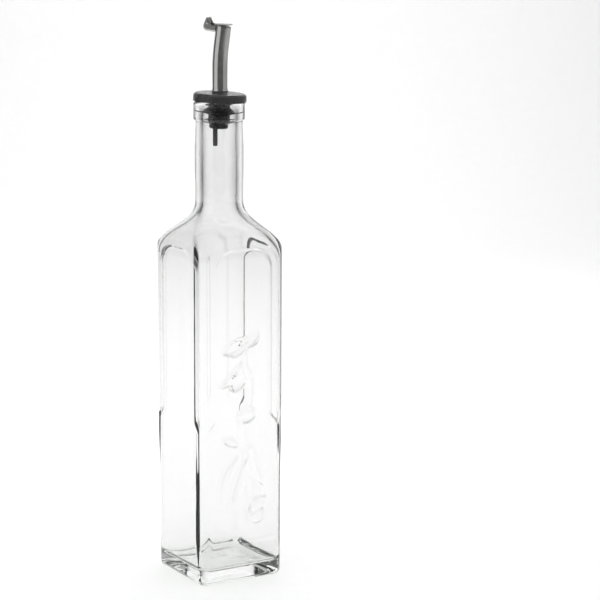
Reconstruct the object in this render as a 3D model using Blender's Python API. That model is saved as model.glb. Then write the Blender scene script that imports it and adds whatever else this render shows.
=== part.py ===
"""Clear glass oil bottle with a steel flip-lid pourer.

The bottle stands on the XY plane, its axis on Z, its four faces square to X and Y. Above a
waist it has proud corner columns round four arched panels; the shoulder turns the square
into the round neck. A black finned stopper sits in the neck and carries a bent steel spout,
an air pipe, and on the spout a bracket with a hinge pin and a lid. The lid is the only
piece that moves: it turns on the pin.
"""
import math

import bmesh
import bpy
import numpy as np
from mathutils import Matrix, Vector

MM = 0.001
GAP = 0.3 * MM

# Glass body: half widths are measured from the axis to a flat face
COLUMN_HALF, COLUMN_CORNER = 30.46 * MM, 9.5 * MM
PANEL_HALF = 29.2 * MM
LOWER_HALF, LOWER_CORNER = 29.6 * MM, 8.5 * MM
HEEL_HALF, HEEL_CORNER = 28.6 * MM, 4.6 * MM
LOWER_START = 28 * MM
WAIST_LOW, WAIST_HIGH = 95 * MM, 106 * MM
WAIST_HALF = 30.1 * MM
TAPER_END = 58 * MM
SHOULDER_LOW, SHOULDER_HIGH = 203.5 * MM, 235 * MM
NECK_RADIUS = 14.8 * MM
NECK_WAIST_RADIUS = 14.55 * MM
NECK_TOP_RADIUS = 14.25 * MM
LIP_RADIUS = 15.65 * MM
LIP_LOW, LIP_TOP = 282.6 * MM, 294.0 * MM
LIP_ROUND = 2.0 * MM
HEEL_ROUND = 3.6 * MM
BEARING_HALF = 22.0 * MM
PUSH_UP = 1.0 * MM

# Hollow of the bottle
CAVITY_HALF = 26.8 * MM
CAVITY_CORNER = 3.6 * MM
CAVITY_FLOOR = 8.6 * MM
CAVITY_FLOOR_ROUND = 4.0 * MM
BORE_RADIUS = 9.8 * MM
CAVITY_SHOULDER_LOW, CAVITY_SHOULDER_HIGH = 200 * MM, 235 * MM

# Arched panels
ARCH_HALF = 18.7 * MM
ARCH_TOP = 206.5 * MM
ARCH_ROUND = 12.0 * MM
ARCH_SLOPE = 0.9 * MM
PANEL_FOOT_HALF = 24.0 * MM

# Pourer: it points over the body's corner between +X and -Y, and leans that way
SPOUT_YAW = math.radians(-45)
STOPPER_LEAN = math.radians(2.8)
STOPPER_PIVOT = 285.5 * MM
FLANGE_LOW, FLANGE_UNDER, FLANGE_TOP = 293.7 * MM, 295.0 * MM, 298.9 * MM
FLANGE_RADIUS = 16.15 * MM
FLANGE_ROUND = 2.0 * MM
SKIRT_RADIUS = 15.35 * MM
CORE_RADIUS = 6.6 * MM
FIN_RADIUS = 9.1 * MM
TAIL_RADIUS = 5.8 * MM
TAIL_LOW = 277.6 * MM
FIN_HEIGHTS = (
    (293.6 * MM, 293.2 * MM, 292.4 * MM, 291.1 * MM),
    (289.9 * MM, 288.1 * MM, 287.2 * MM, 286.0 * MM),
    (283.8 * MM, 282.8 * MM, 281.9 * MM, 280.8 * MM),
)

# Steel spout
TUBE_RADIUS = 4.64 * MM
TUBE_BORE = 4.1 * MM
TUBE_OFFSET = 0.55 * MM
TUBE_LOW = 290.3 * MM
TUBE_FOOT_RADIUS = 4.95 * MM
TUBE_BEND_LOW, TUBE_BEND_HIGH = 312 * MM, 328 * MM
TUBE_LEAN = math.radians(7.3)
MOUTH_Z = 338.85 * MM
OIL_WAY_RADIUS, OIL_WAY_OFFSET = 2.87 * MM, 2.5 * MM

# Air pipe under the stopper
VENT_RADIUS, VENT_TIP_RADIUS, VENT_BORE = 1.5 * MM, 1.4 * MM, 0.8 * MM
VENT_OFFSET = -2.5 * MM
VENT_LOW, VENT_HIGH = 266.7 * MM, 289.3 * MM

# Hinge bracket, pin and lid: p runs forward across the spout's tip, q up along it
PIN_P, PIN_Q = -9.4 * MM, 1.0 * MM
PIN_RADIUS = 0.5 * MM
PIN_HOLE_RADIUS = 0.8 * MM
PIN_HEAD_RADIUS, PIN_HEAD_THICK = 1.1 * MM, 0.5 * MM
EAR_OUTER, EAR_INNER = 3.25 * MM, 2.45 * MM
EAR_FOOT_Q = -4.1 * MM
EAR_REAR_P = -11.85 * MM
EAR_FOOT_ROUND = 2.1 * MM
EAR_TIP_P, EAR_TIP_Q, EAR_TIP_ROUND = -9.85 * MM, 3.15 * MM, 0.85 * MM
EAR_FRONT_P = -7.2 * MM
EAR_LEDGE_Q = -0.3 * MM
EAR_END_P = -1.0 * MM
WEB_THICK = 0.8 * MM
LID_THICK = 0.6 * MM
LID_BELOW_PIN = 0.58 * MM
LID_LIFT = math.radians(5.2)
LID_HALF_WIDTH = 6.2 * MM
LID_BACK, LID_FRONT = 4.0 * MM, 13.8 * MM
LID_FRONT_ROUND, LID_BACK_ROUND = 3.2 * MM, 1.6 * MM
LID_TAB_HALF = 1.9 * MM
LID_BARREL_RADIUS = 1.35 * MM

# Angles of a section's points in an eighth of a turn, closer at the square's corner
EIGHTH = np.radians([0, 13, 26, 35, 39.5, 42.2, 45])
ROUND_SIDES = 40
TUBE_SIDES = 28

FORWARD = Vector((math.cos(SPOUT_YAW), math.sin(SPOUT_YAW), 0))
SIDEWAYS = Vector((-math.sin(SPOUT_YAW), math.cos(SPOUT_YAW), 0))
UP = Vector((0, 0, 1))


def material(name, colour, roughness, metallic=0.0, transmission=0.0):
    """A Principled material with the given surface values."""
    made = bpy.data.materials.new(name)
    made.use_nodes = True
    shader = made.node_tree.nodes["Principled BSDF"]
    shader.inputs["Base Color"].default_value = (*colour, 1)
    shader.inputs["Roughness"].default_value = roughness
    shader.inputs["Metallic"].default_value = metallic
    shader.inputs["Transmission Weight"].default_value = transmission
    return made


def add_object(name, bm, surface=None, smooth=True):
    """Puts a bmesh into a new object whose faces point out."""
    bmesh.ops.recalc_face_normals(bm, faces=bm.faces)
    mesh = bpy.data.meshes.new(name)
    bm.to_mesh(mesh)
    bm.free()
    if smooth:
        mesh.shade_smooth()
        mesh.set_sharp_from_angle(angle=math.radians(35))
    if surface:
        mesh.materials.append(surface)
    made = bpy.data.objects.new(name, mesh)
    bpy.context.scene.collection.objects.link(made)
    return made


def skin(rings, closed=False):
    """A bmesh over equal rings of points; closed joins the last ring to the first,
    otherwise both ends are filled, so the end rings lie flat."""
    bm = bmesh.new()
    loops = [[bm.verts.new(point) for point in ring] for ring in rings]
    pairs = list(zip(loops, loops[1:]))
    if closed:
        pairs.append((loops[-1], loops[0]))
    for low, high in pairs:
        for i in range(len(low)):
            j = (i + 1) % len(low)
            bm.faces.new((low[i], low[j], high[j], high[i]))
    if not closed:
        ends = [bm.faces.new(loops[0]), bm.faces.new(loops[-1])]
        for end in ends:
            end.normal_update()
        bmesh.ops.triangulate(bm, faces=ends)
    return bm


def prism(outline, place, low, high):
    """A bmesh of an outline in a plane, extruded from low to high along the plane's normal."""
    flat = [(place @ Vector((x, y, low)), place @ Vector((x, y, high))) for x, y in outline]
    return skin([[a for a, _ in flat], [b for _, b in flat]])


def arc(centre, radius, start, stop, steps):
    """Points on an arc, angles in degrees, both ends included."""
    turn = np.radians(np.linspace(start, stop, steps + 1))
    return [(centre[0] + radius * math.cos(t), centre[1] + radius * math.sin(t)) for t in turn]


def subtract(target, cutter):
    """Cuts cutter out of target, and hides the cutter."""
    cutter.hide_render = True
    cutter.display_type = "WIRE"
    cut = target.modifiers.new(cutter.name, "BOOLEAN")
    cut.operation = "DIFFERENCE"
    cut.object = cutter


def cylinder(name, start, end, radius, sides=24):
    """A plain rod from start to end."""
    bm = bmesh.new()
    axis = end - start
    turn = axis.to_track_quat("Z", "Y").to_matrix().to_4x4()
    bmesh.ops.create_cone(
        bm, cap_ends=True, segments=sides, radius1=radius, radius2=radius, depth=axis.length,
        matrix=Matrix.Translation((start + end) / 2) @ turn,
    )
    return add_object(name, bm)


def smooth_rise(t):
    """0 to 1 over t from 0 to 1, level to the second derivative at both ends."""
    t = min(max(t, 0.0), 1.0)
    return t * t * t * (10 - 15 * t + 6 * t * t)


def section_angles():
    """A full turn of section angles, mirrored in each eighth."""
    quarter = np.concatenate([EIGHTH, np.pi / 2 - EIGHTH[-2:0:-1]])
    return np.concatenate([quarter + k * np.pi / 2 for k in range(4)])


def rounded_square(half, corner, z):
    """A square of this half width with round corners, as points at the section angles.
    With corner equal to half it is a circle."""
    turn = section_angles()
    x, y = np.abs(np.cos(turn)), np.abs(np.sin(turn))
    reach = half - corner
    flat = half / np.maximum(x, y)
    bow = reach * (x + y) + np.sqrt(np.maximum(corner**2 - reach**2 * (x - y) ** 2, 0))
    on_flat = np.minimum(x, y) * flat <= reach
    radius = np.where(on_flat, flat, bow)
    return [(r * math.cos(t), r * math.sin(t), z) for r, t in zip(radius, turn)]


def shoulder_section(z, half, corner, neck, low, high):
    """Half width and corner radius where the square body turns into the round neck."""
    share = 1 - smooth_rise((z - low) / (high - low))
    width = neck + (half - neck) * share
    roundness = 1 - (1 - corner / half) * share**1.4
    return width, width * roundness


def outer_section(z):
    """Half width and corner radius of the outside between the heel and the neck."""
    if z < TAPER_END:
        swell = smooth_rise((z - HEEL_ROUND) / (LOWER_START - HEEL_ROUND))
        half = HEEL_HALF + (LOWER_HALF - HEEL_HALF) * swell
        return half, HEEL_CORNER + (LOWER_CORNER - HEEL_CORNER) * swell
    if z < WAIST_LOW:
        rise = (z - TAPER_END) / (WAIST_LOW - TAPER_END)
        return LOWER_HALF + (WAIST_HALF - LOWER_HALF) * smooth_rise(rise), LOWER_CORNER
    if z < SHOULDER_LOW:
        rise = smooth_rise((z - WAIST_LOW) / (WAIST_HIGH - WAIST_LOW))
        half = WAIST_HALF + (COLUMN_HALF - WAIST_HALF) * rise
        return half, LOWER_CORNER + (COLUMN_CORNER - LOWER_CORNER) * rise
    return shoulder_section(
        z, COLUMN_HALF, COLUMN_CORNER, NECK_WAIST_RADIUS, SHOULDER_LOW, SHOULDER_HIGH
    )


def cavity_section(z):
    """Half width and corner radius of the hollow."""
    return shoulder_section(
        z, CAVITY_HALF, CAVITY_CORNER, BORE_RADIUS, CAVITY_SHOULDER_LOW, CAVITY_SHOULDER_HIGH
    )


def make_bottle():
    """The glass: outside from the push-up to the lip, then the hollow back down to its floor."""
    rings = []
    for share in (0.25, 0.7, 1.0):
        z = PUSH_UP * (1 - share**2)
        rings.append(rounded_square(BEARING_HALF * share, BEARING_HALF * share * 0.4, z))
    for turn in np.radians((0, 30, 60, 90)):
        inset = HEEL_ROUND * (1 - math.sin(turn))
        rise = HEEL_ROUND * (1 - math.cos(turn))
        rings.append(rounded_square(HEEL_HALF - inset, HEEL_CORNER - inset * 0.7, rise))
    heights = [9 * MM, 13 * MM, 18 * MM, LOWER_START, TAPER_END, 76 * MM, WAIST_LOW]
    heights += [WAIST_LOW + (WAIST_HIGH - WAIST_LOW) * s for s in (0.3, 0.5, 0.7, 1.0)]
    heights += [SHOULDER_LOW + (SHOULDER_HIGH - SHOULDER_LOW) * s
                for s in (0, 0.14, 0.24, 0.34, 0.44, 0.54, 0.64, 0.76, 1.0)]
    for z in heights:
        rings.append(rounded_square(*outer_section(z), z))
    neck = (
        (NECK_RADIUS, 246 * MM), (NECK_RADIUS, 262 * MM), (NECK_RADIUS - 0.3 * MM, 271.5 * MM),
        (NECK_TOP_RADIUS, LIP_LOW - 1.4 * MM), (NECK_TOP_RADIUS, LIP_LOW),
    )
    for radius, z in neck:
        rings.append(rounded_square(radius, radius, z))
    for turn in np.radians((20, 55, 90)):
        radius = LIP_RADIUS - 1.0 * MM * (1 - math.sin(turn))
        rings.append(rounded_square(radius, radius, LIP_LOW + 1.0 * MM * (1 - math.cos(turn))))
    for turn in np.radians((0, 30, 60, 90)):
        radius = LIP_RADIUS - LIP_ROUND * (1 - math.cos(turn))
        z = LIP_TOP - LIP_ROUND * (1 - math.sin(turn))
        rings.append(rounded_square(radius, radius, z))
    for radius, z in ((BORE_RADIUS + 0.8 * MM, LIP_TOP), (BORE_RADIUS, LIP_TOP - 0.8 * MM)):
        rings.append(rounded_square(radius, radius, z))
    low, high = CAVITY_SHOULDER_LOW, CAVITY_SHOULDER_HIGH
    for s in (1.0, 0.76, 0.64, 0.54, 0.44, 0.34, 0.24, 0.14, 0):
        z = low + (high - low) * s
        rings.append(rounded_square(*cavity_section(z), z))
    for turn in np.radians((0, 30, 60, 90)):
        inset = CAVITY_FLOOR_ROUND * (1 - math.cos(turn))
        z = CAVITY_FLOOR + CAVITY_FLOOR_ROUND * (1 - math.sin(turn))
        rings.append(rounded_square(CAVITY_HALF - inset, CAVITY_CORNER + inset * 0.8, z))
    rings.append(rounded_square(10 * MM, 5 * MM, CAVITY_FLOOR + 0.8 * MM))
    glass = material("clear_glass", (0.93, 0.95, 0.94), 0.02, transmission=1.0)
    bottle = add_object("bottle", skin(rings), glass)
    cut_panels(bottle)
    return bottle


def panel_sections():
    """Height, half width and face plane of a recess: it starts flush on the lower body, its
    sides swing in to the columns at the waist, then run up into round upper corners."""
    sections = [(TAPER_END + 2 * MM, PANEL_FOOT_HALF, LOWER_HALF + 0.05 * MM)]
    for rise in (0, 0.3, 0.7, 1):
        z = WAIST_LOW + (WAIST_HIGH - WAIST_LOW) * rise
        width = PANEL_FOOT_HALF + (ARCH_HALF - PANEL_FOOT_HALF) * smooth_rise(rise)
        sections.append((z, width, PANEL_HALF))
    spring = ARCH_TOP - ARCH_ROUND
    for turn in np.radians((0, 20, 40, 60, 76, 90)):
        width = ARCH_HALF - ARCH_ROUND * (1 - math.cos(turn))
        sections.append((spring + ARCH_ROUND * math.sin(turn), width, PANEL_HALF))
    return sections + [(ARCH_TOP + ARCH_SLOPE, sections[-1][1], COLUMN_HALF)]


def cut_panels(bottle):
    """One arched recess with sloping sides in each face."""
    outer = COLUMN_HALF + 2 * MM
    for k in range(4):
        turn = Matrix.Rotation(k * math.pi / 2, 3, "Z")
        rings = []
        for z, width, plane in panel_sections():
            wide = width + ARCH_SLOPE * (outer - plane) / (COLUMN_HALF - PANEL_HALF)
            corners = ((-width, -plane), (width, -plane), (wide, -outer), (-wide, -outer))
            rings.append([turn @ Vector((x, y, z)) for x, y in corners])
        subtract(bottle, add_object(f"panel_cutter_{k + 1}", skin(rings), smooth=False))


def stopper_profile():
    """Radius and height pairs of the turned stopper, from its tail up over the flange."""
    points = [(TAIL_RADIUS - 0.6 * MM, TAIL_LOW), (TAIL_RADIUS, TAIL_LOW + 0.6 * MM)]
    points.append((TAIL_RADIUS, FIN_HEIGHTS[-1][3] - 0.4 * MM))
    for root_top, tip_top, tip_low, root_low in reversed(FIN_HEIGHTS):
        points += [(CORE_RADIUS, root_low), (FIN_RADIUS, tip_low)]
        points += [(FIN_RADIUS, tip_top), (CORE_RADIUS, root_top)]
    points += [(CORE_RADIUS, FLANGE_UNDER), (SKIRT_RADIUS - 0.25 * MM, FLANGE_UNDER)]
    points += [(SKIRT_RADIUS, FLANGE_LOW), (FLANGE_RADIUS, FLANGE_LOW + 0.2 * MM)]
    centre = (FLANGE_RADIUS - FLANGE_ROUND, FLANGE_TOP - FLANGE_ROUND)
    return points + arc(centre, FLANGE_ROUND, 0, 90, 4)


def make_stopper():
    """The black stopper: flange, core with sealing fins, a socket for the spout and two ways."""
    rings = []
    for radius, z in stopper_profile():
        ring = []
        for turn in np.linspace(0, 2 * np.pi, ROUND_SIDES, endpoint=False):
            ring.append((radius * math.cos(turn), radius * math.sin(turn), z - STOPPER_PIVOT))
        rings.append(ring)
    black = material("black_plastic", (0.02, 0.02, 0.021), 0.3)
    stopper = add_object("stopper", skin(rings), black)
    stopper.matrix_world = Matrix.Translation(UP * STOPPER_PIVOT) @ Matrix.Rotation(
        STOPPER_LEAN, 4, UP.cross(FORWARD)
    )
    ways = (
        ("socket_cutter", TUBE_OFFSET, TUBE_RADIUS + GAP, TUBE_LOW - GAP, 302 * MM, TUBE_SIDES),
        ("oil_way_cutter", OIL_WAY_OFFSET, OIL_WAY_RADIUS, 275 * MM, 291 * MM, 24),
        ("vent_way_cutter", VENT_OFFSET, VENT_RADIUS + GAP, 275 * MM, 291 * MM, 20),
    )
    for name, offset, radius, low, high, sides in ways:
        start, end = FORWARD * offset + UP * low, FORWARD * offset + UP * high
        subtract(stopper, cylinder(name, start, end, radius, sides))
    return stopper


def tube_centre(z):
    """Centre and direction of the spout at a height: upright, one bend, then straight."""
    span = TUBE_BEND_HIGH - TUBE_BEND_LOW
    reach = min(max(z - TUBE_BEND_LOW, 0.0), span)
    bend_radius = span / math.sin(TUBE_LEAN)
    lean = math.asin(reach / bend_radius)
    offset = TUBE_OFFSET + bend_radius * (1 - math.cos(lean))
    offset += max(z - TUBE_BEND_HIGH, 0.0) * math.tan(TUBE_LEAN)
    return FORWARD * offset + UP * z, FORWARD * math.sin(lean) + UP * math.cos(lean)


def tube_ring(z, radius):
    """A circle square to the spout's direction at a height."""
    centre, along = tube_centre(z)
    across = SIDEWAYS.cross(along)
    ring = []
    for turn in np.linspace(0, 2 * np.pi, TUBE_SIDES, endpoint=False):
        ring.append(centre + (across * math.cos(turn) + SIDEWAYS * math.sin(turn)) * radius)
    return ring


def make_spout():
    """The bent steel tube, a little flared where it leaves the flange, open at both ends."""
    bend = [TUBE_BEND_LOW + (TUBE_BEND_HIGH - TUBE_BEND_LOW) * s for s in (0, 0.25, 0.5, 0.75, 1)]
    outside = [(TUBE_LOW, TUBE_RADIUS), (299.5 * MM, TUBE_RADIUS), (300.0 * MM, TUBE_FOOT_RADIUS)]
    outside += [(300.9 * MM, TUBE_FOOT_RADIUS), (301.6 * MM, TUBE_RADIUS)]
    outside += [(z, TUBE_RADIUS) for z in bend] + [(MOUTH_Z, TUBE_RADIUS)]
    inside = [(MOUTH_Z, TUBE_BORE)] + [(z, TUBE_BORE) for z in reversed(bend)]
    inside.append((TUBE_LOW, TUBE_BORE))
    rings = [tube_ring(z, radius) for z, radius in outside + inside]
    steel = material("steel", (0.62, 0.62, 0.61), 0.22, metallic=1.0)
    return add_object("spout", skin(rings, closed=True), steel)


def make_vent_tube():
    """The thin air pipe that hangs from the stopper inside the neck."""
    rings = []
    outside = ((VENT_LOW, VENT_TIP_RADIUS), (VENT_LOW + 6 * MM, VENT_RADIUS),
               (VENT_HIGH, VENT_RADIUS))
    for z, radius in outside + ((VENT_HIGH, VENT_BORE), (VENT_LOW, VENT_BORE)):
        centre = FORWARD * VENT_OFFSET + UP * z
        ring = []
        for turn in np.linspace(0, 2 * np.pi, 16, endpoint=False):
            ring.append(centre + Vector((math.cos(turn), math.sin(turn), 0)) * radius)
        rings.append(ring)
    grey = material("grey_plastic", (0.1, 0.1, 0.1), 0.35)
    return add_object("vent_tube", skin(rings, closed=True), grey)


def tip_frame():
    """Frame at the spout's mouth: X forward across the tip (p), Y up along it (q), Z sideways."""
    centre, along = tube_centre(MOUTH_Z)
    forward = SIDEWAYS.cross(along)
    frame = Matrix((forward, along, forward.cross(along))).transposed().to_4x4()
    frame.translation = centre
    return frame


def ear_outline():
    """Side outline of the bracket: rounded heel, slim rounded ear, ledge under the lid."""
    foot = arc((EAR_REAR_P + EAR_FOOT_ROUND, EAR_FOOT_Q + EAR_FOOT_ROUND), EAR_FOOT_ROUND,
               270, 180, 4)
    tip = arc((EAR_TIP_P, EAR_TIP_Q), EAR_TIP_ROUND, 168, 22, 5)
    ledge = [(EAR_FRONT_P, EAR_LEDGE_Q), (EAR_END_P, EAR_LEDGE_Q), (EAR_END_P, EAR_FOOT_Q)]
    return foot + tip + ledge


def make_bracket(frame):
    """The channel behind the spout's tip, whose two ears hold the pin."""
    steel = material("bracket_steel", (0.5, 0.5, 0.49), 0.3, metallic=1.0)
    bracket = add_object("hinge_bracket", prism(ear_outline(), frame, -EAR_OUTER, EAR_OUTER),
                         steel, smooth=False)
    left, right = (frame @ Vector((PIN_P, PIN_Q, side * 5 * MM)) for side in (-1, 1))
    subtract(bracket, cylinder("pin_hole_cutter", left, right, PIN_HOLE_RADIUS, 16))
    below, above = frame @ Vector((0, -9 * MM, 0)), frame @ Vector((0, 9 * MM, 0))
    subtract(bracket, cylinder("spout_clearance", below, above, TUBE_RADIUS + GAP, TUBE_SIDES))
    floor = EAR_FOOT_Q + WEB_THICK
    channel = [(-15 * MM, floor), (2 * MM, floor), (2 * MM, 8 * MM), (-15 * MM, 8 * MM)]
    subtract(bracket, add_object("channel_cutter",
                                 prism(channel, frame, -EAR_INNER, EAR_INNER), smooth=False))
    return bracket


def make_pin(frame):
    """The hinge pin with a head outside each ear."""
    head = EAR_OUTER + GAP
    profile = [(head + PIN_HEAD_THICK, PIN_HEAD_RADIUS * 0.6),
               (head + PIN_HEAD_THICK * 0.6, PIN_HEAD_RADIUS), (head, PIN_HEAD_RADIUS),
               (head, PIN_RADIUS)]
    profile += [(-along, radius) for along, radius in reversed(profile)]
    rings = []
    for along, radius in profile:
        ring = []
        for turn in np.linspace(0, 2 * np.pi, 16, endpoint=False):
            point = Vector((PIN_P + radius * math.cos(turn), PIN_Q + radius * math.sin(turn), along))
            ring.append(frame @ point)
        rings.append(ring)
    steel = material("pin_steel", (0.45, 0.45, 0.44), 0.3, metallic=1.0)
    return add_object("hinge_pin", skin(rings), steel)


def lid_outline():
    """The lid from above: a rounded plate with a narrow tab back to the pin."""
    front = arc((LID_FRONT - LID_FRONT_ROUND, LID_HALF_WIDTH - LID_FRONT_ROUND),
                LID_FRONT_ROUND, 0, 90, 6)
    back = arc((LID_BACK + LID_BACK_ROUND, LID_HALF_WIDTH - LID_BACK_ROUND), LID_BACK_ROUND,
               90, 180, 4)
    half = front + back + [(LID_BACK, LID_TAB_HALF), (0, LID_TAB_HALF)]
    return half + [(x, -y) for x, y in reversed(half)]


def make_flap(frame):
    """The lid: plate and tab in one sheet, with a barrel round the pin. Its origin is on
    the pin's axis."""
    hinge = Matrix.Translation(frame @ Vector((PIN_P, PIN_Q, 0))) @ frame.to_3x3().to_4x4()
    hinge = hinge @ Matrix.Rotation(LID_LIFT, 4, "Z")
    flat = Matrix.Rotation(math.radians(-90), 4, "X")
    steel = material("lid_steel", (0.6, 0.6, 0.59), 0.25, metallic=1.0)
    plate = prism(lid_outline(), flat, -LID_BELOW_PIN - LID_THICK, -LID_BELOW_PIN)
    flap = add_object("flap", plate, steel, smooth=False)
    flap.matrix_world = hinge
    side = hinge.to_3x3() @ Vector((0, 0, 1))
    middle = hinge.translation
    barrel = cylinder("lid_barrel", middle - side * (LID_TAB_HALF - 0.1 * MM),
                      middle + side * (LID_TAB_HALF - 0.1 * MM), LID_BARREL_RADIUS, 20)
    barrel.hide_render = True
    barrel.display_type = "WIRE"
    join = flap.modifiers.new("barrel", "BOOLEAN")
    join.operation = "UNION"
    join.object = barrel
    subtract(flap, cylinder("lid_hole_cutter", middle - side * 4 * MM, middle + side * 4 * MM,
                            PIN_HOLE_RADIUS, 16))
    return flap


def main():
    for old in list(bpy.data.objects):
        bpy.data.objects.remove(old)
    make_bottle()
    make_stopper()
    make_spout()
    make_vent_tube()
    frame = tip_frame()
    make_bracket(frame)
    make_pin(frame)
    make_flap(frame)


main()
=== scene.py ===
# %% [markdown]
# # A clear glass oil bottle with a steel flip-lid pourer
#
# This lesson rebuilds the look of a square oil bottle of clear moulded glass, which holds about
# 0.6 litres to the brim. A black stopper sits in its neck, and a bent steel tube with a small
# hinged lid stands on the stopper.
# Each surface is worked out with numpy from a formula, and each finish from shader nodes.
#
# The CAD model of the same object is loaded first. It gives the places, the sizes and the body
# that each new piece moves with.

# %% Load the CAD model
import math

import bpy
import numpy as np
from mathutils import Matrix, Vector


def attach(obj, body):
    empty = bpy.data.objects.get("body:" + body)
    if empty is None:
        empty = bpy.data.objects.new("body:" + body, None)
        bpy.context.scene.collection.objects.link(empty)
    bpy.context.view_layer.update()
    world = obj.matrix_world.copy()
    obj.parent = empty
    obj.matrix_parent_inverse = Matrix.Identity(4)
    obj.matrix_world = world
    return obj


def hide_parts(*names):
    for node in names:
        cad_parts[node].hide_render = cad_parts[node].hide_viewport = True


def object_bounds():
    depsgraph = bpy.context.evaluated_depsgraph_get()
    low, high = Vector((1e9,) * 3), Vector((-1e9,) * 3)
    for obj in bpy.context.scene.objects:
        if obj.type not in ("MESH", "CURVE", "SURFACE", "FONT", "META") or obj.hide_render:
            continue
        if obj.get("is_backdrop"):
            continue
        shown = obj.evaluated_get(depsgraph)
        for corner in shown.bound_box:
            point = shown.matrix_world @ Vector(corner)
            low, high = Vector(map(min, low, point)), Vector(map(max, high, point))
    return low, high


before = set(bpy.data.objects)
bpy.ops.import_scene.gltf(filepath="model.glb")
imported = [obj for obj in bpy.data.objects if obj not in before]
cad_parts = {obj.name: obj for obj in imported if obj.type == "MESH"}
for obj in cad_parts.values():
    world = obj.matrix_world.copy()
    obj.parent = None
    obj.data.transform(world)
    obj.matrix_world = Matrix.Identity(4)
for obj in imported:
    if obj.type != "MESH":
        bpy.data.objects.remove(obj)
cad_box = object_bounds()
MM = 0.001
print("CAD nodes:", sorted(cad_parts))
print("CAD box in mm:", [[round(value / MM, 1) for value in corner] for corner in cad_box])

# %% [markdown]
# ## Camera
#
# The camera stands 1.25 m from the bottle's axis and 0.40 m above the table, and looks down by
# ten and a half degrees. Its heading meets the bottle's corner between the -X and -Y faces, so
# that one face is seen wide and the other narrow. A long lens keeps the upright edges parallel.

# %% The camera
camera_data = bpy.data.cameras.new("camera")
camera_data.sensor_width = 36
camera_data.lens = 123.97
camera_data.clip_end = 50
camera = bpy.data.objects.new("camera", camera_data)
bpy.context.scene.collection.objects.link(camera)
bpy.context.scene.camera = camera

STAND_AZIMUTH = math.radians(-29.259)
HEADING_TURN = math.radians(-2.2692)
PITCH = math.radians(10.520)
ROLL = math.radians(0.2881)
DISTANCE = 1.24824
HEIGHT = 0.40372


def camera_matrix():
    """The camera's place on a circle round the bottle, and its axes from heading, pitch, roll."""
    heading = Vector((-math.sin(STAND_AZIMUTH), math.cos(STAND_AZIMUTH), 0))
    heading.rotate(Matrix.Rotation(HEADING_TURN, 3, "Z"))
    ahead = heading * math.cos(PITCH) - Vector((0, 0, math.sin(PITCH)))
    right = Vector((heading.y, -heading.x, 0))
    above = right.cross(ahead)
    rolled_right = right * math.cos(ROLL) + above * math.sin(ROLL)
    rolled_above = above * math.cos(ROLL) - right * math.sin(ROLL)
    axes = Matrix((rolled_right, rolled_above, -ahead)).transposed().to_4x4()
    place = (DISTANCE * math.sin(STAND_AZIMUTH), -DISTANCE * math.cos(STAND_AZIMUTH), HEIGHT)
    return Matrix.Translation(place) @ axes


camera.matrix_world = camera_matrix()
print("camera at", [round(value, 3) for value in camera.matrix_world.translation])

# %% [markdown]
# ## From formula to mesh
#
# Every new piece starts as a grid of points: one direction runs round the piece and the other
# along it. One helper turns such a grid into a mesh. It joins neighbouring points to four-sided
# faces, can close either end with a fan round one middle point, and writes a UV map whose first
# number runs round the grid and whose second runs along it. All of it is done on whole arrays.

# %% A grid of points becomes a mesh


def smooth_rise(share):
    """0 to 1 for a share from 0 to 1, with no slope and no bend at either end:
    ten cubes less fifteen fourth powers plus six fifth powers of the share."""
    share = np.clip(share, 0.0, 1.0)
    return share**3 * (10 - 15 * share + 6 * share**2)


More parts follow.
